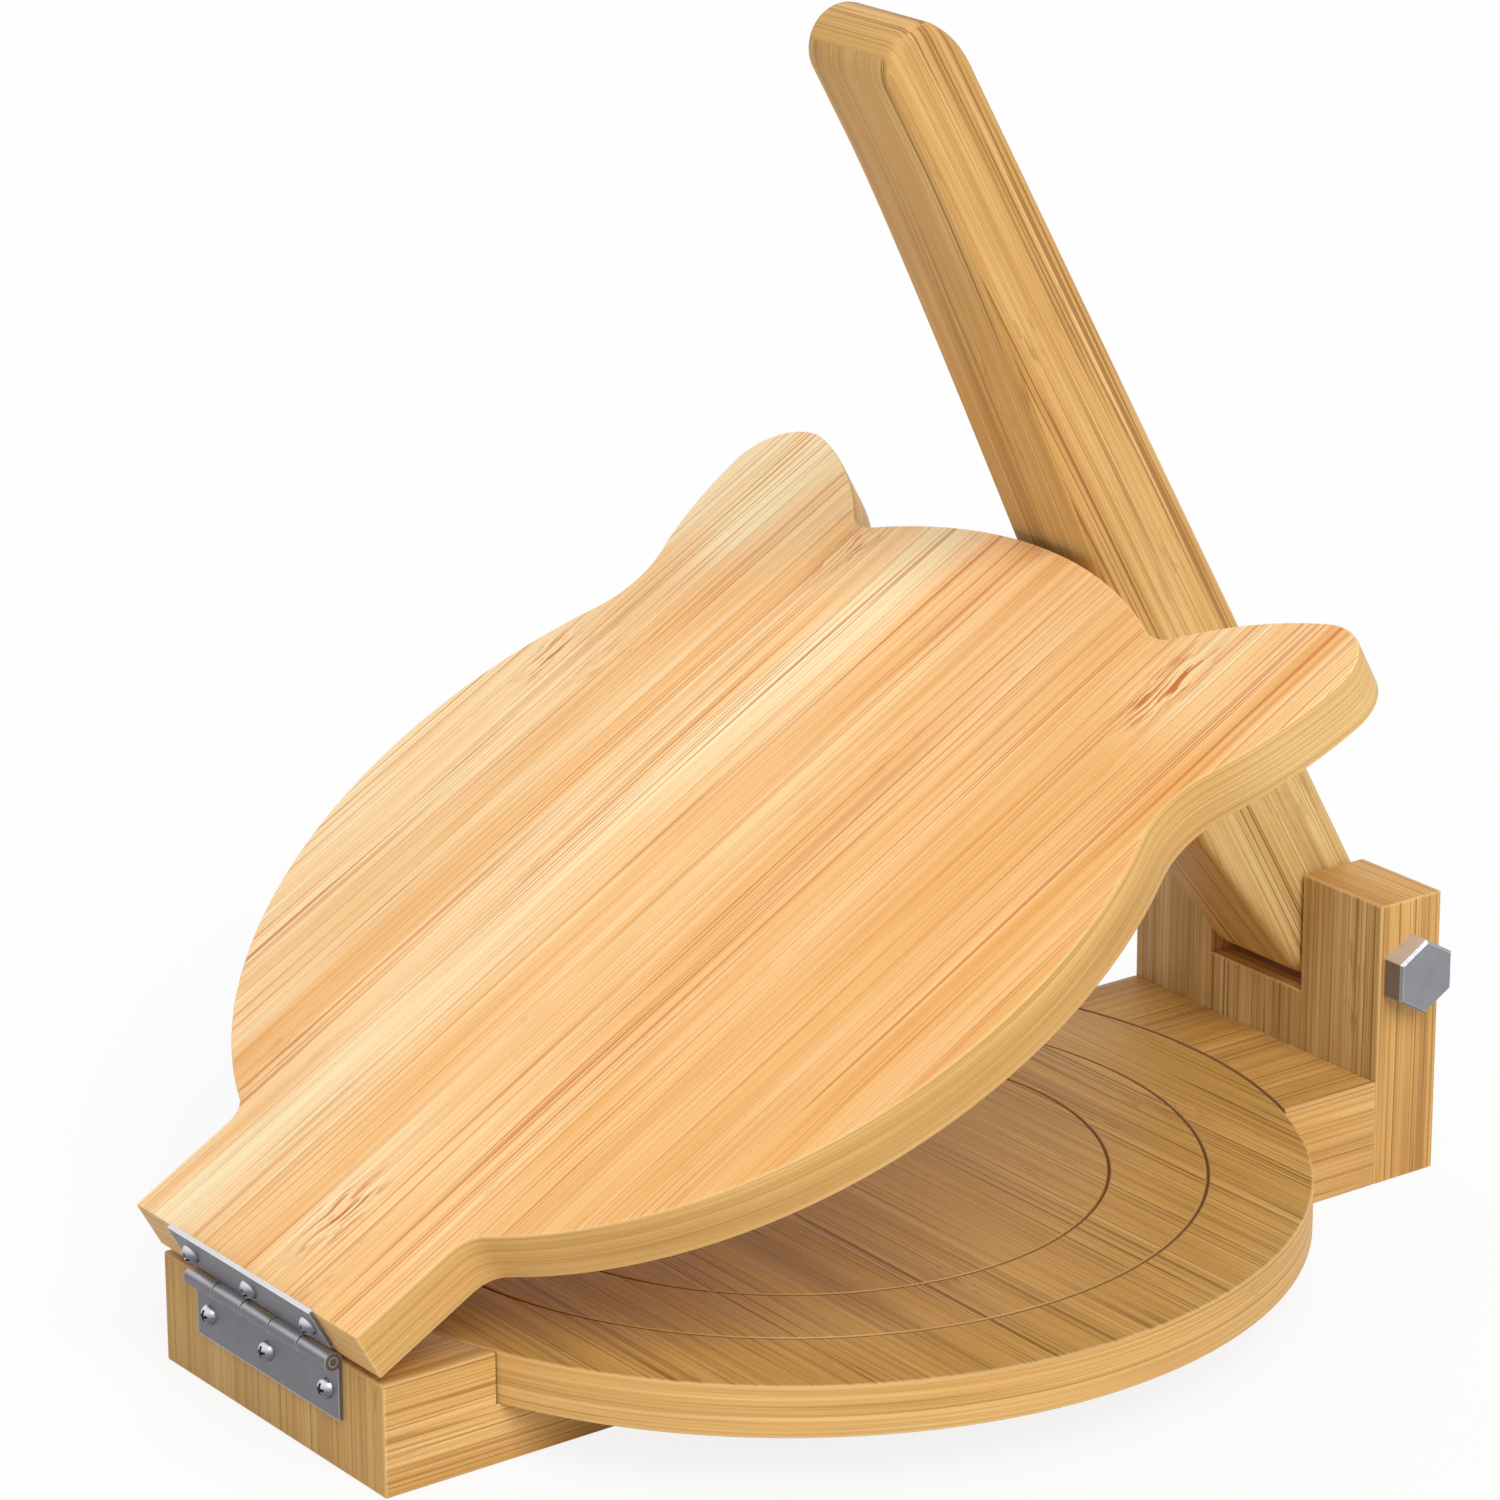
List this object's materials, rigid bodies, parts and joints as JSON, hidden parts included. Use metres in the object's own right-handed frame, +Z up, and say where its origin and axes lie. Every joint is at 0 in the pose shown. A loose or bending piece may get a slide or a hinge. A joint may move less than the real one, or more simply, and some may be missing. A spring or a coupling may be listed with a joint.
{
  "type": "tortilla press",
  "caption": "Laminated wood tortilla press: a round disc let into a long rail, an eared press plate on a butt hinge, and a tapered lever on a bolt in a slotted post.",
  "frame": {"origin": "on the underside of the rail, straight below the middle of the disc", "axes": "+X across the press towards the bolt's head, +Y along the rail from the hinge to the lever, +Z up"},
  "size_m": [0.254, 0.3312, 0.3092],
  "materials": {
    "plate_wood": "satin",
    "disc_wood": "satin",
    "base_wood": "satin",
    "lever_wood": "satin",
    "hinge_steel": "satin",
    "screw_steel": "polished",
    "bolt_steel": "zinc plated"
  },
  "bodies": {
    "base": {"base_rail": "base_wood", "base_disc": "disc_wood", "lever_post": "base_wood", "disc_screws": "screw_steel", "post_screws": "screw_steel", "hinge_base_leaf": "hinge_steel", "hinge_pin": "hinge_steel", "hinge_base_screws": "screw_steel", "pivot_bolt": "bolt_steel", "pivot_washer": "bolt_steel", "pivot_nut": "bolt_steel"},
    "plate": {"press_plate": "plate_wood", "hinge_plate_leaf": "hinge_steel", "hinge_plate_screws": "screw_steel"},
    "lever": {"lever": "lever_wood"}
  },
  "joints": [
    {"name": "plate_hinge", "type": "hinge", "parent": "base", "child": "plate", "pos_m": [0, -0.1514, 0.0284], "axis": [1, 0, 0], "range_deg": [-29.1, 130]},
    {"name": "lever_pivot", "type": "hinge", "parent": "base", "child": "lever", "pos_m": [0, 0.159, 0.056], "axis": [1, 0, 0], "range_deg": [-46, 0]}
  ]
}
